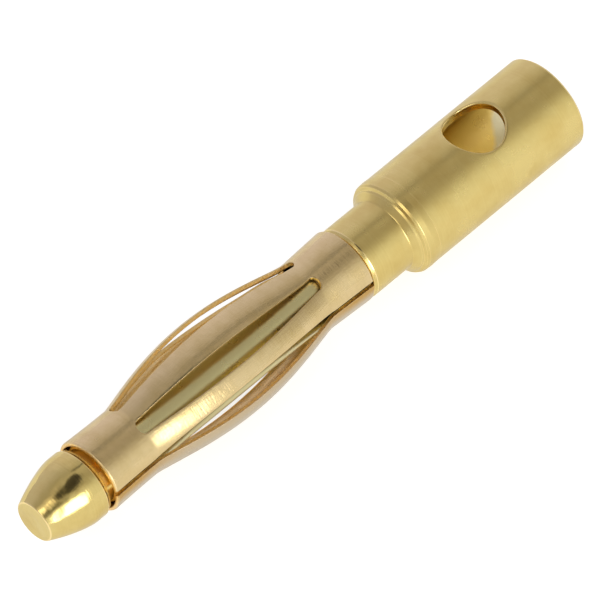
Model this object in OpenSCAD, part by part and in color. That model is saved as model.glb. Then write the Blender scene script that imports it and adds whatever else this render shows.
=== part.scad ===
// Gold-plated 2 mm plug for a battery lead: a turned pin that ends in a solder cup,
// with a slotted spring sleeve, bowed out into a lantern, round its core.
// The pin lies along X. The mouth of the solder cup is at the origin and faces +X.
// Angles round the pin are counted from straight up, turning towards -Y.

/* [Solder cup] */
// Outside diameter of the cup
cup_d = 2.4; // [2.2:0.05:3.2]
// Length of the cup, from its mouth to the shoulder
cup_len = 5.05; // [4.7:0.01:8]
// Thickness of the cup's wall
cup_wall = 0.2; // [0.12:0.01:0.3]
// Depth of the bore, without its drill point
bore_depth = 3.9; // [3.4:0.05:4.1]
// Diameter of the solder hole through the top of the cup
hole_d = 1.41; // [0.8:0.05:1.6]
// Distance from the cup's mouth to the middle of the solder hole
hole_from_mouth = 2.31; // [1:0.01:2.5]
// Radius of the rounded edge of the shoulder
shoulder_round = 0.12; // [0.04:0.01:0.14]
// Width of the turned edge breaks, at the mouth and elsewhere
edge_break = 0.06; // [0.02:0.01:0.08]

/* [Neck] */
// Diameter of the neck between the sleeve and the cup
neck_d = 1.82; // [1.76:0.02:2]
// Length of the neck
neck_len = 1.42; // [1:0.01:4]
// Radius of the fillet where the neck meets the shoulder
neck_fillet = 0.14; // [0.06:0.01:0.16]

/* [Core and nose] */
// Diameter of the core inside the sleeve
core_d = 1.56; // [1.3:0.02:1.6]
// Largest diameter of the nose
nose_d = 1.75; // [1.7:0.01:1.8]
// Length of the nose
nose_len = 1.46; // [1.32:0.01:2.5]
// Length of the rounded crown of the nose
crown_len = 1.24; // [0.8:0.02:1.24]
// Diameter of the flat at the tip
tip_d = 1.04; // [0.6:0.02:1.3]

/* [Spring sleeve] */
// Length of the sleeve
sleeve_len = 8.19; // [7.5:0.01:10]
// Thickness of the sleeve's sheet
sheet = 0.1; // [0.06:0.01:0.12]
// Radial clearance between the core and the sleeve
grip_gap = 0.02; // [0.01:0.005:0.05]
// How far the ends of the sleeve flare out
flare = 0.026; // [0:0.002:0.04]
// How far the strips bow out at the middle
bow = 0.37; // [0.1:0.01:0.5]
// Fullness of the bow: 1.3 is a plain arch, 2 is a slender one
bow_fullness = 1.6; // [1.3:0.1:2]
// Length of the closed band in front of the strips
front_band = 1.26; // [0.8:0.01:1.6]
// Length of the closed band behind the strips
rear_band = 1.12; // [0.8:0.01:1.6]
// Open gap between the end of the sleeve and the neck
rear_gap = 0.04; // [0.02:0.01:0.1]
// Open gap between the nose and the front of the sleeve
front_gap = 0.24; // [0.05:0.01:0.4]

/* [Strips] */
// Angle of each slot round the pin, from the seam onwards
slots_at = [25.5, -31, -76, -126, -179, -228]; // [-240:0.5:60]
// Width of the two slots beside the broad strip
wide_slot_w = 0.37; // [0.26:0.01:0.4]
// Width of the other slots
slot_w = 0.26; // [0.2:0.01:0.3]
// How much wider the broad strip is at its middle
broad_belly = 0.11; // [0:0.01:0.14]
// Depth of the long hollow in the edge of the seam strip
seam_relief = 0.2; // [0.1:0.01:0.24]
// Width of the open seam
seam_gap = 0.13; // [0.12:0.01:0.16]
// Angle of the seam round the pin
seam_at = 82.5; // [70:0.5:95]

/* [Hidden] */
$fn = 96;
over = 0.5;

// Places along X, from the mouth of the cup forwards to the tip
shoulder_x = -cup_len;
neck_x = shoulder_x - neck_len;
sleeve_rear_x = neck_x - rear_gap;
sleeve_front_x = sleeve_rear_x - sleeve_len;
nose_x = sleeve_front_x - front_gap;
tip_x = nose_x - nose_len;

// Radii
cup_r = cup_d / 2;
bore_r = cup_r - cup_wall;
neck_r = neck_d / 2;
core_r = core_d / 2;
nose_r = nose_d / 2;
tip_r = tip_d / 2;
waist_r = core_r + grip_gap + sheet;
drill_point = bore_r / tan(59);
crown_drop = nose_r - tip_r;
crown_r = (crown_len * crown_len + crown_drop * crown_drop) / (2 * crown_drop);

// The stretch of the sleeve that is slotted
slot_front_x = sleeve_front_x + front_band;
slot_rear_x = sleeve_rear_x - rear_band;
slot_len = slot_rear_x - slot_front_x;
cut_depth = 1.3 * sheet;
cut_high = waist_r + bow + over;
slot_end = 0.6;
bow_steps = 24;
band_steps = 4;

// Strips and slots in order round the pin from the seam, turning from the top
// towards +Y: the seam strip, the broad strip, then the narrow ones
BROAD = 1;
LAST = len(slots_at);
function arc_deg(w) = 2 * asin(w / 2 / waist_r);
seam_deg = arc_deg(seam_gap);
function slot_width(i) = i <= BROAD ? wide_slot_w : slot_w;
function strip_start(i) = i == 0 ? seam_at - seam_deg / 2 : slots_at[i - 1] - arc_deg(slot_width(i - 1)) / 2;
function strip_end(i) = i == LAST ? seam_at + seam_deg / 2 - 360 : slots_at[i] + arc_deg(slot_width(i)) / 2;
function strip_mid(i) = (strip_start(i) + strip_end(i)) / 2;

// Outer radius of the sleeve at a place t along its slotted stretch, from 0 to 1
function bow_r(t) = waist_r + bow * pow(max(0, 1 - pow(2 * t - 1, 2)), bow_fullness);
front_line = [for (k = [0:band_steps - 1]) let (t = 1 - k / band_steps)
    [waist_r + flare * t * t, slot_front_x - front_band * t]];
bow_line = [for (k = [0:bow_steps]) let (t = k / bow_steps)
    [bow_r(t), slot_front_x + slot_len * t]];
rear_line = [for (k = [1:band_steps]) let (t = k / band_steps)
    [waist_r + flare * t * t, slot_rear_x + rear_band * t]];
outer_line = concat(front_line, bow_line, rear_line);
last = len(outer_line) - 1;
inner_line = [for (k = [last:-1:0]) outer_line[k] - [sheet, 0]];

// Turns what is drawn in radius and length about the X axis
module turned() {
    rotate([0, 90, 0]) rotate_extrude() children();
}

// Section of a turned step: radius r from x0 to x1, with a chamfer at each end
module step(r, x0, x1, c0 = 0, c1 = 0) {
    polygon([[0, x0], [r - c0, x0], [r, x0 + c0], [r, x1 - c1], [r - c1, x1], [0, x1]]);
}

// The nose: a flat tip, a crown that is an arc, a short land and a broken back edge
module nose_section() {
    intersection() {
        step(nose_r, tip_x, nose_x, 0, edge_break);
        union() {
            translate([nose_r - crown_r, tip_x + crown_len]) circle(crown_r);
            translate([0, tip_x + crown_len]) square([cup_r, nose_len]);
        }
    }
}

// The cup: a broken edge at the mouth and a rounded one at the shoulder
module cup_section() {
    step(cup_r, shoulder_x + shoulder_round, 0, 0, edge_break);
    step(cup_r - shoulder_round, shoulder_x, 0);
    translate([cup_r - shoulder_round, shoulder_x + shoulder_round]) circle(shoulder_round);
}

// The hollow corner between the neck and the shoulder
module fillet_section() {
    difference() {
        translate([0, shoulder_x - neck_fillet]) square([neck_r + neck_fillet, neck_fillet]);
        translate([neck_r + neck_fillet, shoulder_x - neck_fillet]) circle(neck_fillet);
    }
}

// The bore for the lead, with its drill point and a broken edge at the mouth
module bore_section() {
    polygon([[0, -bore_depth - drill_point], [bore_r, -bore_depth], [bore_r, -edge_break],
        [bore_r + edge_break, 0], [bore_r + edge_break, over], [0, over]]);
}

module pin_body() {
    color("goldenrod") difference() {
        turned() difference() {
            union() {
                nose_section();
                step(core_r, nose_x - edge_break, neck_x + edge_break);
                step(neck_r, neck_x, shoulder_x + edge_break, edge_break);
                fillet_section();
                cup_section();
            }
            bore_section();
        }
        translate([-hole_from_mouth, 0, 0]) cylinder(h = cup_r + over, d = hole_d);
    }
}

// Cuts the space between two strips, whose walls lean over by slope_a and slope_b.
// Its floor stays above the line where the two walls would meet
module gap_between(at, width, slope_a, slope_b, x0, x1) {
    low = waist_r - min(cut_depth, 0.9 * width / (slope_a + slope_b));
    function wall(side, slope, v) = [side * (width / 2 + (v - waist_r) * slope), v];
    rotate([at, 0, 0]) translate([x0, 0, 0]) rotate([90, 0, 90])
        linear_extrude(x1 - x0) polygon([wall(1, slope_b, low), wall(1, slope_b, cut_high),
            wall(-1, slope_a, cut_high), wall(-1, slope_a, low)]);
}

// The slot between strips i and i + 1, with rounded ends. Its walls run parallel to the
// middle of each strip, so that the strips keep their width as they bow out
module strip_slot(i) {
    function slope(k) = tan(abs(strip_mid(k) - slots_at[i])) - (k == BROAD ? broad_belly / 2 / bow : 0);
    end_r = slot_end * slot_width(i);
    ends = [slot_front_x + end_r, slot_rear_x - end_r];
    intersection() {
        gap_between(slots_at[i], slot_width(i), slope(i), slope(i + 1),
            slot_front_x - over, slot_rear_x + over);
        rotate([slots_at[i], 0, 0]) translate([0, 0, waist_r - 2 * sheet])
            linear_extrude(2 * sheet + bow + over) {
                for (x = ends) translate([x, 0]) circle(end_r);
                translate([ends[0], -cup_r]) square([ends[1] - ends[0], cup_d]);
            }
    }
}

// The open seam, which runs the whole length and widens between the bowed strips, and a
// long shallow hollow in the edge of the seam strip
module seam() {
    strip_half_w = waist_r * sin((strip_start(0) - strip_end(0)) / 2);
    relief_len = slot_len - 2 * slot_end * wide_slot_w;
    relief_r = (relief_len * relief_len / 4 + seam_relief * seam_relief) / (2 * seam_relief);
    gap_between(seam_at, seam_gap, tan(strip_mid(LAST) + 360 - seam_at), tan(seam_at - strip_mid(0)),
        sleeve_front_x - over, sleeve_rear_x + over);
    rotate([strip_mid(0), 0, 0]) translate([slot_front_x + slot_len / 2, -strip_half_w, waist_r / 2])
        linear_extrude(waist_r + bow) intersection() {
            translate([0, seam_relief - relief_r]) circle(relief_r);
            translate([-slot_len / 2, -seam_gap / 2]) square([slot_len, seam_relief + seam_gap]);
        }
}

module lantern_spring() {
    color("khaki") difference() {
        turned() polygon(concat(outer_line, inner_line));
        for (i = [0:LAST - 1]) strip_slot(i);
        seam();
    }
}

pin_body();
lantern_spring();
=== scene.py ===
"""Looks of a gold-plated 2 mm plug for a battery lead: the turned pin with its solder cup, and
the slotted spring sleeve round its core. All lengths are metres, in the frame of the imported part:
X runs along the pin, out of the cup's mouth, and Z is up through the solder hole.
Angles round the pin are counted from straight up, turning towards -Y."""

import math

import bpy
import numpy as np
from bpy.props import FloatProperty, FloatVectorProperty, IntProperty, PointerProperty
from mathutils import Matrix, Vector


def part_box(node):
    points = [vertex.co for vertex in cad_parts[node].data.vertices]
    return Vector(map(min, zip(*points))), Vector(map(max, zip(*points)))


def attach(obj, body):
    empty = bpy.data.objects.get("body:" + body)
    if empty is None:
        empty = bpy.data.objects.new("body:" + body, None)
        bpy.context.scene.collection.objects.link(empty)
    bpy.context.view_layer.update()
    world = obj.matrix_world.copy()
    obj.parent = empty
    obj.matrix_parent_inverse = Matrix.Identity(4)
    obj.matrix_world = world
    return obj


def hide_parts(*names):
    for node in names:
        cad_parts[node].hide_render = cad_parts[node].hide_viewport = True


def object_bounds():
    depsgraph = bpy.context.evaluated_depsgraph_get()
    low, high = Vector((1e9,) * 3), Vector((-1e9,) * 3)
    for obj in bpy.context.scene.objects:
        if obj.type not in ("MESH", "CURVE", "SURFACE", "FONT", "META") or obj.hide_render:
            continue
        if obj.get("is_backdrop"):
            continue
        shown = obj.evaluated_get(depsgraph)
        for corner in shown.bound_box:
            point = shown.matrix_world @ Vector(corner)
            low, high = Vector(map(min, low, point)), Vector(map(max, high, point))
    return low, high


bl_info = {
    "name": "Battery lead plug",
    "version": (1, 0, 0),
    "blender": (4, 5, 0),
    "location": "3D View > Sidebar > Plug",
    "description": "Builds the turned pin, the spring sleeve and the stage of a gold-plated plug",
    "category": "Object",
}

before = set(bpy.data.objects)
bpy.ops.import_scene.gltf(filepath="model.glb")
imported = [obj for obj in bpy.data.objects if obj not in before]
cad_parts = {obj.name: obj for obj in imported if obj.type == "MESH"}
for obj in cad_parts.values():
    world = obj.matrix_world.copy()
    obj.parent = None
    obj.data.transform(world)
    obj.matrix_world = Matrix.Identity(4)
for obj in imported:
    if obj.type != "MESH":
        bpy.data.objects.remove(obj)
PIN_LOW, PIN_HIGH = (Vector(c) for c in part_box("pin_body"))
SLEEVE_LOW, SLEEVE_HIGH = (Vector(c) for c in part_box("lantern_spring"))
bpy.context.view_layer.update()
MM = 0.001
FAR_SIDE = math.radians(-57)  # the side of the pin that the camera doesn't see
BROAD, THIRD = 1, 3  # two of the strips, counted from the seam strip, which is 0

# ---------------------------------------------------------------------------- sizes and colours


def length(name, description, default):
    """A size in metres that a user may change."""
    return FloatProperty(name=name, description=description, default=default, min=0.0,
                         precision=6, subtype="DISTANCE", unit="LENGTH")


def colour(name, description, default):
    """A colour that a user may change."""
    return FloatVectorProperty(name=name, description=description, default=default, size=3,
                               min=0.0, max=1.0, subtype="COLOR")


def share(name, description, default, top=1.0):
    """A plain number that a user may change."""
    return FloatProperty(name=name, description=description, default=default, min=0.0, max=top)


class PinSizes(bpy.types.PropertyGroup):
    """Sizes of the turned pin"""

    cup_wall: length("Cup wall", "Thickness of the solder cup's wall", 0.2 * MM)
    cup_len: length("Cup length", "From the mouth of the cup to the shoulder", 5.155 * MM)
    bore_depth: length("Bore depth", "Depth of the bore, without its drill point", 3.9 * MM)
    hole_d: length("Solder hole", "Diameter of the solder hole", 1.41 * MM)
    hole_from_mouth: length("Hole place", "From the mouth to the middle of the hole", 2.31 * MM)
    hole_burnish: length("Hole rim", "Width of the burnished rim of the hole", 0.075 * MM)
    shoulder_bead: length("Shoulder bead", "How far the shoulder's edge stands proud", 0.008 * MM)
    edge_break: length("Edge break", "Width of the turned edge breaks", 0.06 * MM)
    neck_d: length("Neck", "Diameter of the neck", 1.84 * MM)
    neck_len: length("Neck length", "Length of the neck", 1.365 * MM)
    neck_fillet: length("Neck fillet", "Radius where the neck meets the shoulder", 0.06 * MM)
    neck_lead: length("Neck lead", "Length of the slight taper at the neck's front", 0.09 * MM)
    core_d: length("Core", "Diameter of the core inside the sleeve", 1.56 * MM)
    core_waist: length("Core's waist", "How far the core is turned down under the strips",
                       0.05 * MM)
    nose_d: length("Nose", "Largest diameter of the nose", 1.77 * MM)
    nose_len: length("Nose length", "Length of the nose", 1.57 * MM)
    crown_len: length("Crown", "From the tip to where the nose is widest", 1.2 * MM)
    crown_fullness: share("Crown fullness", "1 is a cone, 2 is a parabola", 1.5, 3.0)
    tip_edge: length("Tip edge", "Radius of the rounded edge of the tip", 0.055 * MM)
    undercut: length("Undercut", "Depth of the groove behind the nose", 0.08 * MM)
    tip_d: length("Tip", "Diameter of the flat at the tip", 1.04 * MM)
    sides: IntProperty(name="Sides", description="Faces round the pin, a multiple of 48",
                       default=192, min=48, max=384)


class SleeveSizes(bpy.types.PropertyGroup):
    """Sizes of the spring sleeve"""

    sheet: length("Sheet", "Thickness of the sheet", 0.1 * MM)
    waist_r: length("Waist", "Outer radius of the two closed bands", 0.904 * MM)
    flare: length("Flare", "How far the front end flares out", 0.026 * MM)
    rear_flare: length("Rear flare", "How far the rear end flares out", 0.052 * MM)
    bow: length("Bow", "How far the strips bow out", 0.379 * MM)
    bow_lean: length("Bow lean", "How much more the strips bow on the far side", 0.027 * MM)
    bow_fullness: share("Fullness", "1.2 is a full arch, 2 is a slender one", 1.24, 3.0)
    bow_forward: share("Forward", "How far the bow leans to the nose on the far side", 0.043)
    bow_from: length("Bow from", "From a slot's front end to where the strips bow out", 0.07 * MM)
    bow_to: length("Bow to", "From where the strips come in to a slot's rear end", 0.11 * MM)
    roundness: share("Roundness", "How much a strip keeps the curve of the band", 0.6)
    off_centre: length("Off centre", "How far the sleeve's rear sits off the pin's axis",
                       0.029 * MM)
    rear_short: length("Rear end", "How far the rear end stops short", 0.025 * MM)
    front_band: length("Front band", "Closed band in front of the strips", 1.26 * MM)
    rear_band: length("Rear band", "Closed band behind the strips", 1.16 * MM)
    slots_at: FloatVectorProperty(
        name="Slots", description="Angle of each slot round the pin, from the seam onwards",
        default=[math.radians(a) for a in (25.5, -31, -76, -126, -179, -228)], size=6,
        subtype="NONE", unit="ROTATION")
    wide_slot_w: length("Wide slot", "Width of the slots beside the broad strip", 0.37 * MM)
    slot_w: length("Slot", "Width of the other slots", 0.26 * MM)
    slot_end: share("Slot end", "Radius of a slot's end, as a share of its width", 0.6)
    broad_belly: length("Belly", "How much wider the broad strip is at its middle", 0.11 * MM)
    broad_spread: length("Broad strip", "How far the broad strip spreads to the seam strip",
                         0.11 * MM)
    third_belly: length("Third strip", "How far the third strip spreads to its neighbour",
                        0.2 * MM)
    seam_relief: length("Seam hollow", "Depth of the long hollow in the seam's edge", 0.2 * MM)
    seam_gap: length("Seam", "Width of the open seam", 0.13 * MM)
    seam_at: FloatProperty(name="Seam place", description="Angle of the seam round the pin",
                           default=math.radians(82.5), subtype="ANGLE", unit="ROTATION")
    edge: length("Cut edge", "Radius of the sheared edges", 0.012 * MM)
    end_edge: length("End edge", "Radius of the outer edge at the two ends", 0.07 * MM)
    end_inner: length("Inner end edge", "Radius of the inner edge at the two ends", 0.02 * MM)


class Finishes(bpy.types.PropertyGroup):
    """Colours of the gold plate, and of the light and shade painted onto it"""

    pin: colour("Pin", "Bright gold plate on the turned pin", (0.67, 0.535, 0.205))
    pin_deep: colour("Pin, deep", "Where the pin's plate is thin or stained", (0.6, 0.455, 0.155))
    # painted light: the bore's warm orange stands for light bounced between the gold walls inside
    # it
    pin_painted_bounce: colour("Bore", "Inside the solder cup", (0.93, 0.69, 0.22))
    # painted light: the pale patch inside the cup by its mouth, where light comes in at the mouth
    pin_painted_mouth_light: colour("Bore, dull", "Inside the cup close to its mouth", (0.74, 0.66, 0.43))
    # painted light: the core's paler, greyer colour stands for the pale surroundings it reflects
    # through the slots
    core: colour("Core", "The paler plate on the core inside the sleeve", (0.69, 0.63, 0.33))
    # painted light: rubbed edges are painted this paler, brighter gold as a highlight, besides
    # being polished
    burnished: colour("Burnished edge", "The polished edges of the pin", (0.92, 0.74, 0.36))
    sleeve: colour("Sleeve", "Satin gold plate on the spring sheet", (0.66, 0.515, 0.27))
    sleeve_pale: colour("Sleeve, pale", "The greyer plate on the strip behind the seam",
                        (0.55, 0.46, 0.32))
    sleeve_deep: colour("Sleeve, deep", "Where the sheet's plate is thin", (0.58, 0.44, 0.2))
    # painted light: the deep orange of light bounced between gold surfaces, on the walls and inner
    # faces
    sleeve_painted_bounce: colour("Sleeve, inside", "The inner faces and the sheared walls of the sheet",
                          (0.97, 0.6, 0.15))
    # painted light: specks of this colour along the cut edges are painted glints
    sheared: colour("Sheared edge", "The rubbed edges of the sheet", (0.85, 0.66, 0.36))
    # painted shade: the dark brown along the seam gap
    painted_seam_shade: colour("Stain", "The heat stain along the seam", (0.5, 0.31, 0.1))
    edge_tint: share("Edge tint", "How bright the plate stays at grazing angles", 0.8)
    pin_rough: share("Pin roughness", "Roughness of the turned surfaces", 0.29)
    sleeve_rough: share("Sleeve roughness", "Roughness of the sheet", 0.22)


class StageSettings(bpy.types.PropertyGroup):
    """The camera, the floor and the lights"""

    eye: FloatVectorProperty(name="Camera", description="Where the camera stands", size=3,
                             default=(-0.1255949, -0.1336845, 0.2059808), subtype="TRANSLATION",
                             unit="LENGTH")
    right: FloatVectorProperty(name="Right", description="The camera's right", size=3,
                               default=(0.6972, -0.7139, -0.0653), subtype="DIRECTION")
    up: FloatVectorProperty(name="Up", description="The camera's up", size=3,
                            default=(0.5720, 0.4991, 0.6509), subtype="DIRECTION")
    lens: FloatProperty(name="Lens", description="Focal length in millimetres", default=732.0)
    floor: colour("Floor", "Colour of the floor", (0.5, 0.5, 0.5))
    floor_lift: share("Floor lift", "How much the floor glows to the camera and in the metal",
                      0.75)
    tent: share("Tent", "Brightness of the light tent round the plug", 1.08, 4.0)
    banner: share("Banner light", "Brightness of the upright light at the near side", 6.5, 20.0)


# ---------------------------------------------------------------------------- shapes as arrays


def rounded_profile(corners, radii, steps=5):
    """A line of straight runs whose corners are arcs. With the unit directions u and w from a
    corner P to its neighbours, b their bisector, t the direction w - u and a the half angle
    between u and w, the arc is P + b r / sin a + r (t sin q - b cos q), for q from -(pi / 2 - a)
    to pi / 2 - a. Returns the points and how far each is part of an edge, from 0 to 1."""
    p, r = np.array(corners, float), np.array(radii, float)[:, None]
    u, w = p[:-2] - p[1:-1], p[2:] - p[1:-1]
    u /= np.linalg.norm(u, axis=1, keepdims=True)
    w /= np.linalg.norm(w, axis=1, keepdims=True)
    b, t = u + w, w - u
    b /= np.linalg.norm(b, axis=1, keepdims=True)
    t /= np.linalg.norm(t, axis=1, keepdims=True)
    a = np.arccos(np.clip((u * b).sum(1), -1, 1))[:, None]
    q = np.linspace(-1, 1, steps)[None, :] * (np.pi / 2 - a)
    swing = t[:, None] * np.sin(q)[..., None] - b[:, None] * np.cos(q)[..., None]
    arc = p[1:-1, None] + b[:, None] * (r / np.sin(a))[..., None] + r[..., None] * swing
    points = np.vstack([p[:1], arc.reshape(-1, 2), p[-1:]])
    bent = np.cos(np.linspace(-1, 1, steps) * np.pi / 2) * np.ones_like(q)
    edge = np.concatenate([[0.0], bent.ravel(), [0.0]])
    return points, edge


def fine_profile(points, edge, longest):
    """The same line with its long straight runs cut into equal steps no longer than longest."""
    run = np.linalg.norm(np.diff(points, axis=0), axis=1)
    along = np.concatenate([[0.0], np.cumsum(run)])
    n = np.maximum(1, np.ceil(run / longest)).astype(int)
    first = np.repeat(np.arange(len(run)), n)
    step = np.arange(n.sum()) - np.repeat(np.cumsum(n) - n, n)
    s = np.append(along[first] + run[first] * step / n[first], along[-1])
    return (np.stack([np.interp(s, along, points[:, 0]), np.interp(s, along, points[:, 1])], 1),
            np.interp(s, along, edge))


def round_the_axis(x, r, angle):
    """The point at x along the pin and r from its axis, turned by angle: (x, -r sin, r cos)."""
    x, r, angle = np.broadcast_arrays(x, r, angle)
    return np.stack([x, -r * np.sin(angle), r * np.cos(angle)], -1)


def sheet_of(points, edge=0.0, inside=0.0, uv=None):
    """One grid of points with what goes with each point: how far it is part of an edge, how
    far it is inside the piece, and its place on the sheet."""
    edge = np.broadcast_to(edge, points.shape[:2])
    inside = np.broadcast_to(inside, points.shape[:2])
    uv = points[..., :2] / MM if uv is None else uv
    return points, edge, inside, uv


def grid_quads(rows, columns):
    """The faces of a grid of points that are counted row by row: point (i, j) is joined to
    (i + 1, j), (i + 1, j + 1) and (i, j + 1)."""
    k = np.arange(rows * columns).reshape(rows, columns)
    return np.stack([k[:-1, :-1], k[1:, :-1], k[1:, 1:], k[:-1, 1:]], -1).reshape(-1, 4)


def joined_mesh(name, sheets, crease):
    """One closed mesh from grids of points whose borders coincide. Points at the same place
    become one, and a side of no length makes a triangle. Edges that turn by more than crease
    are kept sharp."""
    place = np.vstack([s[0].reshape(-1, 3) for s in sheets])
    marks = {"wear_and_highlight": np.concatenate([s[1].ravel() for s in sheets]),
             "inside": np.concatenate([s[2].ravel() for s in sheets])}
    uv = np.vstack([s[3].reshape(-1, 2) for s in sheets])
    start, quads = 0, []
    for points, _, _, _ in sheets:
        rows, columns = points.shape[:2]
        quads.append(grid_quads(rows, columns) + start)
        start += rows * columns
    quads = np.vstack(quads)
    key, first, same = np.unique(np.round(place / (MM * 1e-6)).astype(np.int64), axis=0,
                                 return_index=True, return_inverse=True)
    same = same.ravel()
    corner = same[quads]
    keep = corner != np.roll(corner, 1, axis=1)
    keep &= (keep.sum(1) >= 3)[:, None]
    keep &= (corner[:, 0] != corner[:, 2])[:, None] & (corner[:, 1] != corner[:, 3])[:, None]
    size = keep.sum(1)
    size = size[size > 0]
    loops, raw = corner[keep], quads[keep]

    begin = np.cumsum(size) - size
    after = np.arange(1, len(loops) + 1)
    after[begin + size - 1] = begin
    way = np.stack([loops, loops[after]], 1)
    ahead, back = (np.unique(w, axis=0, return_counts=True) for w in (way, way[:, ::-1]))
    if ahead[1].max() > 1 or not np.array_equal(ahead[0], back[0]):
        raise RuntimeError(f"{name}: the surface isn't closed")

    mesh = bpy.data.meshes.new(name)
    mesh.vertices.add(len(key))
    mesh.vertices.foreach_set("co", place[first].astype(np.float32).ravel())
    mesh.loops.add(len(loops))
    mesh.loops.foreach_set("vertex_index", loops.astype(np.int32))
    mesh.polygons.add(len(size))
    mesh.polygons.foreach_set("loop_start", begin.astype(np.int32))
    mesh.polygons.foreach_set("loop_total", size.astype(np.int32))
    mesh.update(calc_edges=True)
    if mesh.validate(verbose=False):
        raise RuntimeError(f"{name}: the mesh had faces that don't hold")
    mesh.polygons.foreach_set("use_smooth", np.ones(len(size), bool))
    mesh.set_sharp_from_angle(angle=crease)
    for label, values in marks.items():
        most = np.zeros(len(key), np.float32)
        np.maximum.at(most, same, values.astype(np.float32))
        mesh.attributes.new(label, "FLOAT", "POINT").data.foreach_set("value", most)
    mesh.uv_layers.new(name="sheet").data.foreach_set("uv", uv[raw].astype(np.float32).ravel())
    obj = bpy.data.objects.new(name, mesh)
    bpy.context.scene.collection.objects.link(obj)
    return obj


# ---------------------------------------------------------------------------- the turned pin


def turned(profile, edge, angle, inside=0.0):
    """A profile of (x, r) turned about the X axis, once round."""
    return sheet_of(round_the_axis(profile[:, :1], profile[:, 1:], angle[None, :]), edge[:, None],
                    inside)


HOLE_MARGIN = 0.36 * MM  # along X, from the solder hole to the square of grid lines about it
HOLE_TURN = 7 / 48  # half the square's span round the cup, as a share of a turn
HOLE_ROWS = 25  # grid lines across the square
HOLE_RINGS = 7  # rings of points between the hole and the square
LIP_STEPS = 7  # steps round the hole's burnished rim
WALL_STEPS = 5  # steps down the wall of the hole


def around_hole(r_wall, hole_r, hole_x, half, reach, sides, out):
    """A wall of radius r_wall between the round hole and the square of grid lines about it.
    A border point of the square at direction b from the hole's middle is joined to the rim
    point (hole_x + hole_r cos b, hole_r sin b), where sin(angle) = sideways / r_wall; in
    between, x and angle change evenly. Returns the grid and the directions b, which are
    taken at the cup's outside."""
    turn = 2 * np.pi / sides
    a = np.arange(-reach, reach + 1) * turn
    x = np.linspace(hole_x - half, hole_x + half, HOLE_ROWS)
    bx = np.concatenate([np.full(len(a) - 1, x[-1]), x[:0:-1], np.full(len(a) - 1, x[0]), x])
    ba = np.concatenate([a[:-1], np.full(len(x) - 1, a[-1]), a[:0:-1],
                         np.full(len(x), a[0])])
    b = np.arctan2(PIN_HIGH.z * ba, bx - hole_x)
    rim_x, rim_a = hole_x + hole_r * np.cos(b), np.arcsin(hole_r * np.sin(b) / r_wall)
    t = np.linspace(0, 1, HOLE_RINGS)[:, None] ** 1.3  # closer together at the rim
    grid = round_the_axis(rim_x + (bx - rim_x) * t, r_wall, rim_a + (ba - rim_a) * t)
    return (grid if out else grid[::-1]), b


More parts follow.
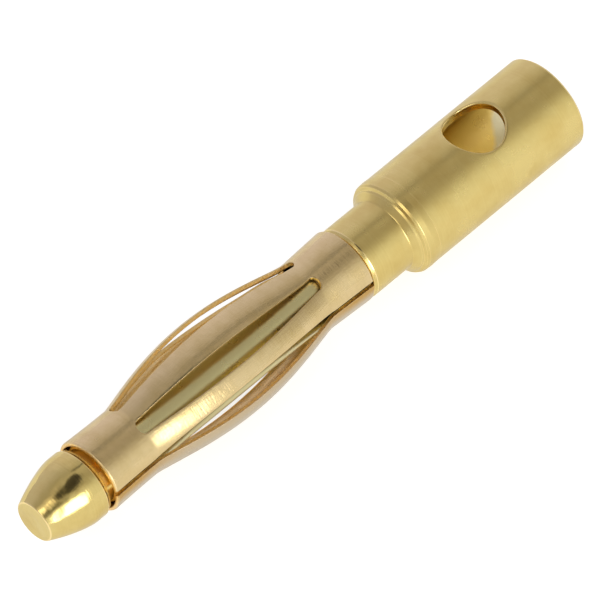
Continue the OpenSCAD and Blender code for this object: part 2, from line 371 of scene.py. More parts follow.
def pin_sheets(s):
    """The pin: its section turned about X, with the solder hole let into the cup's wall. The
    radius of the crown at the share u of its length is tip + (nose - tip) (1 - (1 - u)^f), f
    being its fullness. The rim of the hole is a quarter round of the burnish's width."""
    cup_r, mouth, tip = PIN_HIGH.z, PIN_HIGH.x, PIN_LOW.x
    bore_r = cup_r - s.cup_wall
    shoulder, neck_r, core_r, nose_r, tip_r = (
        mouth - s.cup_len, s.neck_d / 2, s.core_d / 2, s.nose_d / 2, s.tip_d / 2)
    neck, nose = shoulder - s.neck_len, tip + s.nose_len
    e, hole_r = s.edge_break, s.hole_d / 2
    hole_x = mouth - s.hole_from_mouth
    half, reach = hole_r + HOLE_MARGIN, round(s.sides * HOLE_TURN)
    x0, x1 = hole_x - half, hole_x + half
    angle = np.linspace(0, 2 * np.pi, s.sides + 1)
    turn = 2 * np.pi / s.sides
    rest = np.arange(reach, s.sides - reach + 1) * turn

    def run(corners, radii, longest=0.12 * MM, steps=5):
        return fine_profile(*rounded_profile(corners, radii, steps), longest)

    sheets = []
    groove, waist = core_r - s.undercut, core_r - s.core_waist
    core0, core1 = SLEEVE_LOW.x, SLEEVE_HIGH.x
    # the shoulder rises in small turned steps, some steep and some flat
    shoulder_steps = [(shoulder + x * MM, r, rounding) for x, r, rounding in (
        (-0.15, neck_r, s.neck_fillet), (-0.02, neck_r + 0.15 * MM, 0.012 * MM),
        (0.025, cup_r - 0.105 * MM, 0.012 * MM), (0.06, cup_r - 0.036 * MM, 0.012 * MM),
        (0.12, cup_r - 0.002 * MM, 0.02 * MM), (0.27, cup_r + s.shoulder_bead, 0.02 * MM))]
    # the crown starts where the rounded edge of the tip has room
    u = np.linspace(0.06, 1, 36)
    crown = np.stack([tip + s.crown_len * u,
                      tip_r + (nose_r - tip_r) * (1 - (1 - u) ** s.crown_fullness)], 1)
    tip_face, tip_edge = run([(tip, 0), (tip, tip_r), tuple(crown[0])], [s.tip_edge],
                             0.06 * MM, 9)
    # x, radius and the radius of the rounding of each corner, from the nose to the cup
    corners = [
        (nose - 2 * e, nose_r, 0.08 * MM), (nose, nose_r - e, 0.03 * MM),
        (nose, groove, 0.02 * MM), (core0 + 0.1 * MM, groove, 0.03 * MM),
        (core0 + 0.18 * MM, core_r, 0.03 * MM), (core0 + 0.9 * MM, core_r, 0.1 * MM),
        (core0 + 1.2 * MM, waist, 0.1 * MM), (core1 - 1.2 * MM, waist, 0.1 * MM),
        (core1 - 0.9 * MM, core_r, 0.1 * MM), (neck, core_r, 0.02 * MM),
        (neck, neck_r - 0.045 * MM, 0.02 * MM),
        (neck + 0.02 * MM, neck_r - 0.028 * MM, 0.02 * MM),
        (neck + s.neck_lead, neck_r, 0.1 * MM), *shoulder_steps,
        (shoulder + 0.45 * MM, cup_r, 0.2 * MM)]
    front, front_edge = run([tuple(crown[-1]), *(c[:2] for c in corners), (x0, cup_r)],
                            [c[2] for c in corners], steps=7)
    front = np.vstack([tip_face[:-1], crown[1:], front[1:]])
    front_edge = np.concatenate([tip_edge[:-1], np.zeros(len(crown) - 1), front_edge[1:]])
    # the groove behind the nose and the core's front are marked as inside, which paints warm
    # bounced light on them
    crevice = (front[:, 0] > nose - 0.02 * MM) & (front[:, 0] < core0 + 0.4 * MM)
    # the hollow corner before the shoulder isn't rubbed and gets no painted highlight
    hollow = (front[:, 0] > neck + 1.5 * s.neck_lead) & (front[:, 0] < shoulder - 0.05 * MM)
    front_edge[hollow] = 0
    sheets.append(turned(front, front_edge, angle, crevice[:, None]))
    # the inside of the rim and the bore get the painted warm bounced light
    rim, rim_edge = run(
        [(x1, cup_r), (mouth - e, cup_r), (mouth, cup_r - e), (mouth, bore_r + e),
         (mouth - e, bore_r), (x1, bore_r)], [0.03 * MM] * 4)
    sheets.append(turned(rim, rim_edge, angle, (rim[:, 1:] < bore_r + e / 2).astype(float)))
    end = mouth - s.bore_depth
    drill_point = bore_r / math.tan(math.radians(59))
    bore, _ = run([(x0, bore_r), (end, bore_r), (end - drill_point, 0)], [0.05 * MM])
    sheets.append(turned(bore, np.zeros(len(bore)), angle, 1.0))

    x = np.linspace(x0, x1, HOLE_ROWS)[:, None]
    sheets.append(sheet_of(round_the_axis(x, cup_r, rest[None, :])))
    sheets.append(sheet_of(round_the_axis(x[::-1], bore_r, rest[None, :]), 0.0, 1.0))

    wide = hole_r + s.hole_burnish
    outer, b = around_hole(cup_r, wide, hole_x, half, reach, s.sides, True)
    sheets.append(sheet_of(outer))
    inner, _ = around_hole(bore_r, hole_r, hole_x, half, reach, s.sides, False)
    sheets.append(sheet_of(inner, 0.0, 1.0))

    q = np.linspace(0, np.pi / 2, LIP_STEPS)[:, None]
    fall = np.linspace(0, 1, WALL_STEPS + 1)[1:, None]
    radius = np.vstack([wide - s.hole_burnish * np.sin(q), np.full_like(fall, hole_r)])
    sideways = radius * np.sin(b)
    top = np.sqrt(cup_r ** 2 - sideways ** 2)
    bottom = np.sqrt(bore_r ** 2 - (hole_r * np.sin(b)) ** 2)[None, :]
    lip = top[:LIP_STEPS] - s.hole_burnish * (1 - np.cos(q))
    height = np.vstack([lip, lip[-1:] + (bottom - lip[-1:]) * fall])
    wall = np.stack([hole_x + radius * np.cos(b), -sideways, height], -1)
    wall[0], wall[-1] = outer[0], inner[-1]
    # the hole's rim is rubbed and gets a painted highlight, and the wall below it the painted warm
    # bounced light
    down = np.vstack([np.zeros_like(q), fall])
    rubbed = np.vstack([0.5 * np.sin(q), 0.5 * (1 - fall) ** 2])
    sheets.append(sheet_of(wall[::-1], rubbed[::-1], down[::-1]))
    # these grids run inwards, so their rows are turned round and the faces point outwards
    return [tuple(part[::-1] for part in sheet) for sheet in sheets]


# ---------------------------------------------------------------------------- the spring sleeve


STRIPS = 7
WALL_ROUND = 5  # points round each sheared edge of the sheet
WALL_ACROSS = 11  # points through the sheet's thickness
STRIP_ACROSS = 15  # points across a strip
SLOT_END_STEPS = 11  # points along each rounded end of a slot
SLOT_STEPS = 74  # points along the straight part of a slot
BAND_STEPS = 14  # points along each closed band
# How far each of these is painted with the deep orange of light bounced between gold surfaces, from
# 0 to 1:
# the sheared walls, the inner faces, and what the broad strip's inner face has more along its edge
# at the seam strip
WALL_PAINTED_BOUNCE, FACE_PAINTED_BOUNCE, BROAD_PAINTED_BOUNCE = 0.65, 0.15, 0.8


def third_spread(u):
    """How far the third strip spreads at the share u of the slots' length: a broad bump near its
    front, a low arch all along and a slight bump near its rear, faded out at both ends."""
    bumps = (0.75 * np.exp(-((u - 0.3) / 0.2) ** 2) + 0.25 * np.sin(np.pi * u)
             + 0.3 * np.exp(-((u - 0.91) / 0.08) ** 2))
    return bumps * (1 - np.exp(-(u / 0.08) ** 2)) * (1 - np.exp(-((1 - u) / 0.04) ** 2))


def sleeve_sheets(s):
    """The spring sleeve: strips side by side, which meet in the two closed bands.

    Strip k has its middle at angle m. Across it runs y, and its outer face is at the height
    H - (c - sqrt(c^2 - y^2)), where H is the outer radius at this place along X and c the
    radius of the strip's own curve. Depth is taken along the sheet's normal. At the bands H
    and c are the waist's radius, so that neighbours share their edges there; along the slots
    each strip stops at the slot's wall."""
    front, rear = SLEEVE_LOW.x, SLEEVE_HIGH.x - s.rear_short
    slot0, slot1 = front + s.front_band, rear - s.rear_band
    run, waist = slot1 - slot0, s.waist_r
    width = np.where(np.arange(STRIPS - 1) <= BROAD, s.wide_slot_w, s.slot_w)
    gaps = np.concatenate([[s.seam_at], s.slots_at, [s.seam_at - 2 * np.pi]])
    widths = np.concatenate([[s.seam_gap], width, [s.seam_gap]])
    arc = np.arcsin(widths / 2 / waist)
    middle = (gaps[:-1] - arc[:-1] + gaps[1:] + arc[1:]) / 2

    q = np.linspace(0, np.pi / 2, SLOT_END_STEPS)
    near = s.slot_end * s.wide_slot_w * (1 - np.cos(q))
    x = np.concatenate([
        np.linspace(front + s.end_edge, slot0, BAND_STEPS)[:-1], slot0 + near,
        np.linspace(slot0 + near[-1], slot1 - near[-1], SLOT_STEPS)[1:-1], slot1 - near[::-1],
        np.linspace(slot1, rear - s.end_edge, BAND_STEPS)[1:]])
    in_slot = (x >= slot0 - 1e-9) & (x <= slot1 + 1e-9)

    bend = s.edge * (1 - np.cos(np.linspace(0, np.pi / 2, WALL_ROUND)))
    depth = np.concatenate([bend, np.linspace(s.edge, s.sheet - s.edge, WALL_ACROSS)[1:-1],
                            s.sheet - bend[::-1]])
    from_face = np.minimum(depth, s.sheet - depth)
    rounded = np.maximum(0, s.edge - from_face)
    inset = s.edge - np.sqrt(np.maximum(0, s.edge ** 2 - rounded ** 2))
    end_r = np.where(depth < s.sheet / 2 + 0.02 * MM, s.end_edge, s.end_inner)
    over = np.clip(end_r - np.where(end_r == s.end_edge, depth, s.sheet - depth), 0, None)
    end_inset = end_r - np.sqrt(np.maximum(0, end_r ** 2 - over ** 2))
    cut = np.sin(np.clip(from_face / s.edge, 0, 1) * np.pi / 2)
    # the painted bounced light on the sheared walls grows with depth
    inner = WALL_PAINTED_BOUNCE * np.clip(depth / (3 * s.edge), 0, 1) ** 2

    def slot_half(x, gap):
        """Half the width of a gap at x: a straight slot with round ends. The seam is open
        all along."""
        if gap in (0, STRIPS):
            return np.full_like(x, s.seam_gap / 2)
        end_r = s.slot_end * widths[gap]
        past = np.maximum(0, np.maximum(slot0 + end_r - x, x - slot1 + end_r))
        half = np.minimum(widths[gap] / 2, np.sqrt(np.maximum(0, end_r ** 2 - past ** 2)))
        return np.where((x < slot0) | (x > slot1), 0.0, half)

    def bowed(x, angle):
        """How far a strip has bowed out at x: bow (1 - (2 t - 1)^2)^fullness, where t goes
        from 0 to 1 and is moved forward on the far side."""
        away = np.cos(angle - FAR_SIDE)
        t = np.clip((x - slot0 - s.bow_from) / (run - s.bow_from - s.bow_to), 0, 1)
        t = t ** (1 - s.bow_forward * away)
        arch = np.maximum(0, 1 - (2 * t - 1) ** 2) ** s.bow_fullness
        return (s.bow + s.bow_lean * away) * arch

    def side(k, x, which):
        """Where strip k ends across, at the outer face: below zero at its start. It is the
        slot's wall at the waist's radius, carried out as the strip bows, so that a strip keeps
        its width; the seam strip is hollowed by a parabola, and two strips spread."""
        gap = k if which < 0 else k + 1
        reach = abs(gaps[gap] - middle[k]) - np.arcsin(slot_half(x, gap) / waist)
        y = waist * np.sin(reach)
        lift = bowed(x, middle[k]) / s.bow
        if k == BROAD:
            y = y + s.broad_belly / 2 * lift
        u = np.clip((x - slot0) / run, 0, 1)
        if gap == 0:
            y = y - s.seam_relief * 4 * u * (1 - u)
        if k == BROAD and which < 0:
            y = y + s.broad_spread * np.maximum(0, np.sin(np.pi * u ** 1.4)) ** 0.7
        if k == THIRD and which < 0:
            y = y + s.third_belly * third_spread(u)
        return which * y

    def softening(k, x, which):
        """How much of the edge's rounding there is: none where a slot's two walls meet."""
        return np.clip(slot_half(x, k if which < 0 else k + 1) / (1.2 * s.edge), 0, 1)

    def points(k, x, v, d, inset):
        """The point of strip k at x, at share v across it and depth d."""
        y0 = side(k, x, -1) + inset * softening(k, x, -1)
        y1 = side(k, x, 1) - inset * softening(k, x, 1)
        y = y0 + (y1 - y0) * v
        lift = bowed(x, middle[k])
        c = waist + (1 - s.roundness) * lift
        h = waist + lift - c + np.sqrt(c ** 2 - y ** 2)
        ny, nh = y / c, np.sqrt(c ** 2 - y ** 2) / c
        ahead = np.maximum(0, (slot0 - x) / s.front_band)
        behind = np.maximum(0, (x - slot1) / s.rear_band)
        grow = 1 + (s.flare * ahead ** 2 + s.rear_flare * behind) / waist
        y_in, h_in = (y - d * ny) * grow, (h - d * nh) * grow
        # y runs from the strip's start to its end, which is against the count of the angles
        m = middle[k]
        out = np.stack(np.broadcast_arrays(
            x, -h_in * np.sin(m) + y_in * np.cos(m), h_in * np.cos(m) + y_in * np.sin(m)), -1)
        shift = s.off_centre * (x - front) / (rear - front)
        out[..., 1] -= math.sin(FAR_SIDE) * shift
        out[..., 2] += math.cos(FAR_SIDE) * shift
        place = np.stack(np.broadcast_arrays(x / MM, (y - middle[k] * waist) / MM), -1)
        return out, place

    sheets = []
    v = np.linspace(0, 1, STRIP_ACROSS)[None, :]
    for k in range(STRIPS):
        for d, e, order in ((0.0, inset[0], 1), (s.sheet, inset[-1], -1)):
            column = x[:, None] + 0 * v
            if order < 0:
                column[0], column[-1] = front + end_inset[-1], rear - end_inset[-1]
            p, uv = points(k, column, v, d, e)
            within = FACE_PAINTED_BOUNCE + BROAD_PAINTED_BOUNCE * (k == BROAD) * np.clip(1 - v / 0.4, 0, 1)
            sheets.append(sheet_of(p[::order], 0.0, within * (order < 0), uv[::order]))
        for which in (-1, 1):
            gap = k if which < 0 else k + 1
            if gap in (0, STRIPS):
                xx = x[:, None] + 0 * depth[None, :]
                xx[0], xx[-1] = front + end_inset, rear - end_inset
            else:
                xx = x[in_slot][:, None] + 0 * depth[None, :]
            p, uv = points(k, xx, 0.0 if which < 0 else 1.0, depth[None, :], inset[None, :])
            edge, within = (np.broadcast_to(c[None, :], p.shape[:2]) for c in (cut, inner))
            sheets.append(sheet_of(p[::which], edge[::which], within[::which], uv[::which]))
        for xx, order in ((front + end_inset, -1), (rear - end_inset, 1)):
            p, uv = points(k, xx[:, None], v, depth[:, None], inset[:, None])
            edge, within = (np.broadcast_to(c[:, None], p.shape[:2]) for c in (cut, inner))
            sheets.append(sheet_of(p[::order], edge[::order], within[::order], uv[::order]))
    return sheets


# ---------------------------------------------------------------------------- finishes


BUMP = 0.004 * MM  # height of the bump that both finishes share
# Places along X in millimetres, where what is named here starts and is complete
NOSE_ENDS = (-14.95, -14.9)
# where the core's painted paler colour starts and ends
CORE_STARTS, CORE_ENDS = (-14.75, -14.65), (-6.6, -6.55)
# where the painted pale light inside the cup's mouth starts and is complete, and how its edge
# slants
MOUTH_LIGHT_STARTS, MOUTH_LIGHT_SLANT = (-1.0, -0.84), (-0.47, -0.305)
# Places on the sleeve's sheet in millimetres: across it from the top, and along X
# where the pale plate and the painted shade along the seam start and are complete
PALE_STARTS, SEAM_SHADE_STARTS = (3.45, 3.7), (4.08, 4.28)
SEAM_SHADE_MIDDLE, SEAM_SHADE_FADES = -10.6, (2.0, 3.4)


class Tree:
    """A small helper that adds nodes to a node tree and joins them."""

    def __init__(self, tree):
        self.tree = tree
        tree.nodes.clear()

    def add(self, kind, inputs=None, **settings):
        """A node with its settings, whose inputs are links or plain values."""
        node = self.tree.nodes.new(kind)
        for name, value in settings.items():
            setattr(node, name, value)
        for name, value in (inputs or {}).items():
            socket = node.inputs[name]
            if isinstance(value, bpy.types.NodeSocket):
                self.tree.links.new(value, socket)
            else:
                socket.default_value = value
        return node

    def maths(self, operation, a, b=0.0):
        return self.add("ShaderNodeMath", {0: a, 1: b}, operation=operation).outputs[0]

    def spread(self, value, low, high, to_low=0.0, to_high=1.0):
        return self.add("ShaderNodeMapRange", {"Value": value, "From Min": low, "From Max": high,
                                               "To Min": to_low, "To Max": to_high}).outputs[0]

    def total(self, *terms):
        """The sum of pairs of a value and its weight."""
        (value, weight), *rest = terms
        value = self.maths("MULTIPLY", value, weight)
        return self.maths("ADD", value, self.total(*rest)) if rest else value

    def noise(self, place, scale, detail, rough, dims="3D"):
        node = self.add("ShaderNodeTexNoise",
                        {"Scale": scale, "Detail": detail, "Roughness": rough},
                        noise_dimensions=dims)
        self.tree.links.new(place, node.inputs["W" if dims == "1D" else "Vector"])
        return node.outputs["Fac"]

    def mix(self, fac, a, b):
        """The colour between a and b at fac."""
        node = self.tree.nodes.new("ShaderNodeMix")
        node.data_type = "RGBA"
        for socket, value in ((node.inputs[0], fac), (node.inputs[6], a), (node.inputs[7], b)):
            if isinstance(value, bpy.types.NodeSocket):
                self.tree.links.new(value, socket)
            else:
                socket.default_value = (*value, 1.0)
        return node.outputs[2]


def begun_finish(name):
    """A new material with its tree and what both plates read: the place in millimetres, how far a
    point is part of a rubbed edge, which also gets a painted highlight, and how far it is inside
    the piece, which gets painted bounced light."""
    material = bpy.data.materials.new(name)
    material.use_nodes = True
    t = Tree(material.node_tree)
    at = t.add("ShaderNodeTexCoord").outputs["Object"]
    mm = t.add("ShaderNodeMapping", {"Vector": at, "Scale": (1 / MM,) * 3}).outputs[0]
    wear_and_highlight = t.add("ShaderNodeAttribute", attribute_name="wear_and_highlight").outputs["Fac"]
    inside = t.add("ShaderNodeAttribute", attribute_name="inside").outputs["Fac"]
    return material, t, mm, wear_and_highlight, inside


def turned_gold(name, f):
    """Bright gold plate on turned brass: fine rings from the tool, a softly uneven plate, a
    polished and slightly wavy nose, a painted deep orange of light bounced inside the bore and the
    groove behind the nose, a painted patch of pale light that comes in at the cup's mouth, a core
    painted paler as a reflection, and edges painted brighter as a highlight."""
    material, t, mm, wear_and_highlight, inside = begun_finish(name)
    part = t.add("ShaderNodeSeparateXYZ", {"Vector": mm})
    radius = t.maths("SQRT", t.maths("ADD", t.maths("MULTIPLY", part.outputs[1], part.outputs[1]),
                                     t.maths("MULTIPLY", part.outputs[2], part.outputs[2])))
    along = t.maths("ADD", part.outputs[0], radius)
    rings = t.noise(along, 22.0, 3.0, 0.7, "1D")
    wide_rings = t.noise(along, 3.2, 1.0, 0.5, "1D")
    mottle = t.noise(mm, 1.5, 3.0, 0.55)
    waves = t.noise(mm, 2.3, 1.0, 0.4)
    grain = t.noise(mm, 16.0, 2.0, 0.6)
    # the nose is polished: it is the part ahead of the sleeve
    nose = t.spread(part.outputs[0], *NOSE_ENDS, 1.0, 0.0)
    deep = t.spread(t.maths("ADD", mottle, t.maths("MULTIPLY", rings, 0.25)), 0.5, 0.85)
    base = t.mix(deep, f.pin, f.pin_deep)
    # the core between the nose and the neck is painted paler, a painted reflection
    core = t.maths("MULTIPLY", t.spread(part.outputs[0], *CORE_STARTS),
                   t.spread(part.outputs[0], *CORE_ENDS, 1.0, 0.0))
    base = t.mix(core, base, f.core)
    # the painted patch of pale light that comes in at the mouth ends on a slant
    slant = t.total((part.outputs[1], MOUTH_LIGHT_SLANT[0]), (part.outputs[2], MOUTH_LIGHT_SLANT[1]))
    painted_mouth_light = t.spread(t.maths("ADD", t.maths("ADD", part.outputs[0], slant),
                            t.maths("MULTIPLY", mottle, 0.5)), *MOUTH_LIGHT_STARTS)
    # inside the piece the colour is painted with warm light bounced between gold surfaces, and by
    # the mouth with the pale light that comes in there
    base = t.mix(inside, base, t.mix(painted_mouth_light, f.pin_painted_bounce, f.pin_painted_mouth_light))
    # rubbed edges are painted paler and brighter: a painted highlight on the polished edges
    base = t.mix(t.maths("MULTIPLY", wear_and_highlight, 0.8), base, f.burnished)
    rough = t.maths("ADD", t.spread(mottle, 0.3, 0.7, f.pin_rough - 0.04, f.pin_rough + 0.05),
                    t.maths("MULTIPLY", t.maths("MAXIMUM", nose, wear_and_highlight), -0.15))
    height = t.total((rings, 0.35), (wide_rings, 0.5), (mottle, 2.2), (grain, 0.25),
                     (waves, t.maths("MULTIPLY", nose, 7.0)))
    gold_plate(t, f, base, rough, height)
    return material


def gold_plate(t, f, base, rough, height):
    """The metal shader that both finishes end in."""
    bump = t.add("ShaderNodeBump", {"Strength": 1.0, "Distance": BUMP, "Height": height})
    shader = t.add("ShaderNodeBsdfPrincipled", {"Metallic": 1.0, "Base Color": base,
                                                "Specular Tint": (f.edge_tint,) * 3 + (1.0,),
                                                "Roughness": rough, "Normal": bump.outputs[0]})
    t.add("ShaderNodeOutputMaterial", {"Surface": shader.outputs[0]})


def spring_gold(name, f):
    """Satin gold plate on stamped sheet: marks along and across the sheet, painted glints on the
    cut edges, a painted deep orange of light bounced between gold surfaces on the walls and inner
    faces, and painted shade along the seam."""
    material, t, mm, wear_and_highlight, inside = begun_finish(name)
    flat = t.add("ShaderNodeUVMap", uv_map="sheet").outputs[0]
    along, across = t.add("ShaderNodeSeparateXYZ", {"Vector": flat}).outputs[:2]
    lay = t.add("ShaderNodeMapping", {"Vector": flat, "Scale": (1.2, 9.0, 1.0)}).outputs[0]
    cross = t.add("ShaderNodeMapping", {"Vector": flat, "Scale": (9.0, 1.4, 1.0)}).outputs[0]
    rolled = t.noise(lay, 2.4, 3.0, 0.6)
    marks = t.noise(cross, 2.2, 3.0, 0.65)
    mottle = t.noise(mm, 1.7, 3.0, 0.55)
    grain = t.noise(mm, 24.0, 2.0, 0.6)
    deep = t.spread(t.maths("ADD", mottle, t.maths("MULTIPLY", marks, 0.3)), 0.5, 0.9)
    base = t.mix(deep, f.sleeve, f.sleeve_deep)
    base = t.mix(t.spread(across, *PALE_STARTS), base, f.sleeve_pale)
    # the painted shade runs along the last strip's edge at the seam, and fades where the strip bows
    # out
    painted_seam_shade = t.spread(t.maths("ADD", across, t.maths("MULTIPLY", grain, 0.1)), *SEAM_SHADE_STARTS)
    from_middle = t.maths("ABSOLUTE", t.maths("SUBTRACT", along, SEAM_SHADE_MIDDLE))
    painted_seam_shade = t.maths("MULTIPLY", painted_seam_shade, t.spread(from_middle, *SEAM_SHADE_FADES, 0.2, 1.0))
    base = t.mix(painted_seam_shade, base, f.painted_seam_shade)
    # the walls and inner faces are painted with the deep orange of light bounced between gold
    # surfaces
    base = t.mix(inside, base, f.sleeve_painted_bounce)
    # specks of painted glint along the rubbed cut edges
    painted_glints = t.maths("MULTIPLY", wear_and_highlight, t.spread(grain, 0.4, 0.6, 0.0, 0.6))
    base = t.mix(painted_glints, base, f.sheared)
    rough = t.maths(
        "ADD", t.spread(mottle, 0.3, 0.7, f.sleeve_rough - 0.05, f.sleeve_rough + 0.06),
        t.maths("MULTIPLY", wear_and_highlight, 0.08))
    height = t.total((rolled, 0.8), (marks, 0.9), (mottle, 2.0),
                     (grain, t.spread(wear_and_highlight, 0.0, 1.0, 0.3, 2.5)))
    gold_plate(t, f, base, rough, height)
    return material


def floor_finish(name, s):
    """A matt pale floor, which glows enough to look white to the camera and in metal and glass,
    and still takes the plug's shadow."""
    material = bpy.data.materials.new(name)
    material.use_nodes = True
    t = Tree(material.node_tree)
    ray = t.add("ShaderNodeLightPath").outputs
    seen = t.maths("MAXIMUM", ray["Is Camera Ray"],
                   t.maths("MAXIMUM", ray["Is Glossy Ray"], ray["Is Transmission Ray"]))
    matt = t.add("ShaderNodeBsdfDiffuse", {"Color": (*s.floor, 1.0)})
    lift = t.add("ShaderNodeEmission", {"Strength": t.maths("MULTIPLY", seen, s.floor_lift)})
    both = t.add("ShaderNodeAddShader", {0: matt.outputs[0], 1: lift.outputs[0]})
    t.add("ShaderNodeOutputMaterial", {"Surface": both.outputs[0]})
    return material


FLOOR_GAP = 0.01 * MM  # how far the floor lies under the plug
FLOOR_HALF, FLOOR_LINES = 1.5, 9  # half the floor's side in metres, and its lines each way
# Soft patches of the light tent: towards where, the angle within which each is full, the angle
# beyond which there is none, and what it multiplies the tent's brightness by
PATCHES = (((0.0, -0.27, 0.96), 11, 20, 0.12), ((-0.35, -0.62, 0.7), 5, 12, 0.35),
           ((-0.38, -0.05, 0.92), 6, 16, 1.45), ((-0.6, -0.25, 0.76), 9, 20, 4.0))
# Brightness and tint of the light tent by the y of a direction, from the near side to the far
TENT = ((-1.0, 1.0, (1.0, 1.0, 1.0)), (-0.87, 0.98, (1.0, 1.0, 1.0)),
        (-0.8, 0.91, (1.0, 1.0, 0.98)), (-0.72, 0.81, (1.0, 0.99, 0.95)),
        (-0.62, 0.65, (1.0, 0.96, 0.88)), (-0.52, 0.52, (1.0, 0.94, 0.84)),
        (-0.4, 0.47, (1.0, 0.92, 0.82)), (-0.25, 0.5, (1.0, 0.92, 0.84)),
        (0.0, 0.57, (1.0, 0.93, 0.86)), (0.3, 0.57, (1.0, 0.94, 0.92)),
        (0.45, 0.67, (1.0, 0.95, 1.0)), (0.6, 0.74, (1.0, 0.96, 1.08)),
        (0.75, 0.82, (1.0, 0.96, 1.13)), (0.9, 0.88, (1.0, 0.96, 1.16)))


# ---------------------------------------------------------------------------- operators


class PLUG_OT_make_pin(bpy.types.Operator):
    """Makes the turned pin with its solder cup, neck, core and nose"""

    bl_idname = "plug.make_pin"
    bl_label = "Make the pin"

    def execute(self, context):
        scene = context.scene
        pin = joined_mesh("turned_pin", pin_sheets(scene.plug_pin), math.radians(28))
        pin.data.materials.append(turned_gold("turned gold plate", scene.plug_finishes))
        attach(pin, "root")
        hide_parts("pin_body")
        return {"FINISHED"}


class PLUG_OT_make_sleeve(bpy.types.Operator):
    """Makes the slotted and bowed spring sleeve"""

    bl_idname = "plug.make_sleeve"
    bl_label = "Make the sleeve"

    def execute(self, context):
        scene = context.scene
        sleeve = joined_mesh("spring_sleeve", sleeve_sheets(scene.plug_sleeve), math.radians(32))
        sleeve.data.materials.append(spring_gold("spring gold plate", scene.plug_finishes))
        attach(sleeve, "root")
        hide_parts("lantern_spring")
        return {"FINISHED"}


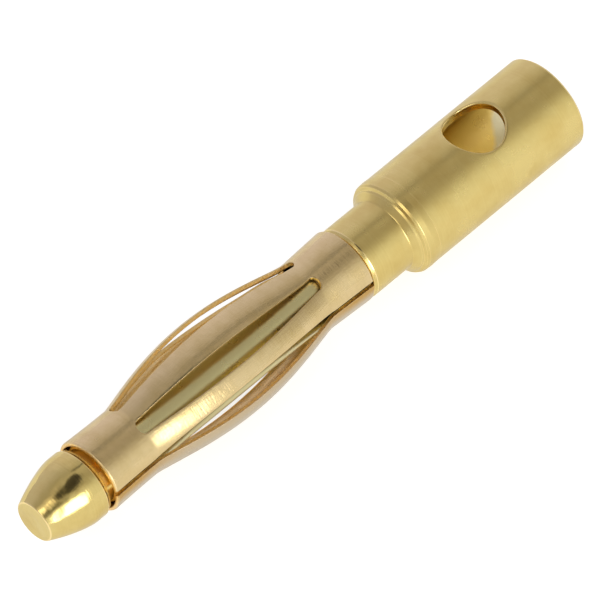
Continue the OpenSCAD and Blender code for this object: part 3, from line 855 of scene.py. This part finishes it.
class PLUG_OT_set_stage(bpy.types.Operator):
    """Sets up the floor, the camera, the lights and the surroundings"""

    bl_idname = "plug.set_stage"
    bl_label = "Set the stage"

    def execute(self, context):
        s = context.scene.plug_stage
        self.floor(s)
        self.camera(context, s)
        self.surroundings(context, s)
        context.scene.view_settings.view_transform = "Standard"
        return {"FINISHED"}

    def floor(self, s):
        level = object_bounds()[0].z - FLOOR_GAP
        u = np.linspace(-FLOOR_HALF, FLOOR_HALF, FLOOR_LINES)
        gx, gy = np.meshgrid(u, u, indexing="ij")
        grid = np.stack([gx, gy, np.full_like(gx, level)], -1)
        mesh = bpy.data.meshes.new("floor")
        mesh.from_pydata(grid.reshape(-1, 3).tolist(), [], grid_quads(*gx.shape).tolist())
        floor = bpy.data.objects.new("floor", mesh)
        bpy.context.scene.collection.objects.link(floor)
        mesh.materials.append(floor_finish("matt white floor", s))
        floor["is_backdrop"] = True

    def camera(self, context, s):
        data = bpy.data.cameras.new("camera")
        data.sensor_width, data.lens = 36.0, s.lens
        data.clip_start, data.clip_end = 0.01, 10.0
        camera = bpy.data.objects.new("camera", data)
        context.scene.collection.objects.link(camera)
        right = Vector(s.right).normalized()
        back = right.cross(Vector(s.up)).normalized()
        turn = Matrix((right, back.cross(right), back)).transposed()
        camera.matrix_world = Matrix.Translation(Vector(s.eye)) @ turn.to_4x4()
        context.scene.camera = camera

    def surroundings(self, context, s):
        """A light tent, brightest at its near and far sides and greyer between them, with soft
        bright and dark patches and a dark slit overhead, and an upright light at the near
        side."""
        world = bpy.data.worlds.new("surroundings")
        context.scene.world = world
        world.use_nodes = True
        t = Tree(world.node_tree)
        way = t.add("ShaderNodeTexCoord").outputs["Generated"]
        x, y, z = t.add("ShaderNodeSeparateXYZ", {"Vector": way}).outputs

        def smooth(value, low, high, to_low, to_high):
            return t.add("ShaderNodeMapRange",
                         {"Value": value, "From Min": low, "From Max": high, "To Min": to_low,
                          "To Max": to_high}, interpolation_type="SMOOTHSTEP").outputs[0]

        def patch(towards, full, none, factor):
            dot = t.add("ShaderNodeVectorMath", {0: way, 1: Vector(towards).normalized()},
                        operation="DOT_PRODUCT").outputs["Value"]
            return smooth(dot, math.cos(math.radians(none)), math.cos(math.radians(full)), 1.0,
                          factor)

        def product(first, *rest):
            for factor in rest:
                first = t.maths("MULTIPLY", first, factor)
            return first

        ramp = t.add("ShaderNodeValToRGB", {"Fac": t.spread(y, -1.0, 1.0)})
        stops = ramp.color_ramp.elements
        while len(stops) < len(TENT):
            stops.new(0.5)
        for stop, (place, level, tint) in zip(stops, TENT):
            stop.position = (place + 1) / 2
            stop.color = (*(level * c for c in tint), 1.0)

        # the slit is seen overhead from the cup, and the far side is darker towards the nose
        off = t.maths("ABSOLUTE", t.maths("SUBTRACT", y, t.maths("MULTIPLY", z, 0.19)))
        slit = product(smooth(off, 0.085, 0.02, 0.0, 0.65), smooth(x, 0.05, 0.3, 0.0, 1.0))
        far_nose = product(smooth(y, -0.1, 0.5, 0.0, 1.0), smooth(x, 0.4, 0.0, 0.0, 0.25))
        level = product(*(patch(*p) for p in PATCHES), t.maths("SUBTRACT", 1.0, slit),
                        t.maths("SUBTRACT", 1.0, far_nose))
        light = product(
            smooth(t.maths("ABSOLUTE", t.maths("ADD", x, 0.1)), 0.24, 0.12, 0.0, 1.0),
            smooth(z, 0.62, 0.42, 0.0, 1.0), smooth(y, -0.4, -0.7, 0.0, 1.0))
        tent = t.add("ShaderNodeBackground", {"Strength": t.maths("MULTIPLY", level, s.tent),
                                              "Color": ramp.outputs[0]})
        banner = t.add("ShaderNodeBackground", {"Strength": t.maths("MULTIPLY", light, s.banner)})
        both = t.add("ShaderNodeAddShader", {0: tent.outputs[0], 1: banner.outputs[0]})
        t.add("ShaderNodeOutputWorld", {"Surface": both.outputs[0]})


class PLUG_PT_panel(bpy.types.Panel):
    """Lists what makes the plug, with its sizes, finishes and stage"""

    bl_idname = "PLUG_PT_panel"
    bl_label = "Battery lead plug"
    bl_space_type = "VIEW_3D"
    bl_region_type = "UI"
    bl_category = "Plug"

    def draw(self, context):
        for operator, group in (("plug.make_pin", "plug_pin"), ("plug.make_sleeve", "plug_sleeve"),
                                (None, "plug_finishes"), ("plug.set_stage", "plug_stage")):
            box = self.layout.box()
            if operator:
                box.operator(operator)
            settings = getattr(context.scene, group)
            for name in settings.__annotations__:
                box.prop(settings, name)


CLASSES = (PinSizes, SleeveSizes, Finishes, StageSettings, PLUG_OT_make_pin, PLUG_OT_make_sleeve,
           PLUG_OT_set_stage, PLUG_PT_panel)
GROUPS = {"plug_pin": PinSizes, "plug_sleeve": SleeveSizes, "plug_finishes": Finishes,
          "plug_stage": StageSettings}


def register():
    for cls in CLASSES:
        bpy.utils.register_class(cls)
    for name, group in GROUPS.items():
        setattr(bpy.types.Scene, name, PointerProperty(type=group))


def unregister():
    for name in GROUPS:
        delattr(bpy.types.Scene, name)
    for cls in reversed(CLASSES):
        bpy.utils.unregister_class(cls)


def main():
    """Builds the plug and its stage."""
    register()
    bpy.ops.plug.make_pin()
    bpy.ops.plug.make_sleeve()
    bpy.ops.plug.set_stage()


if __name__ == "__main__":
    main()
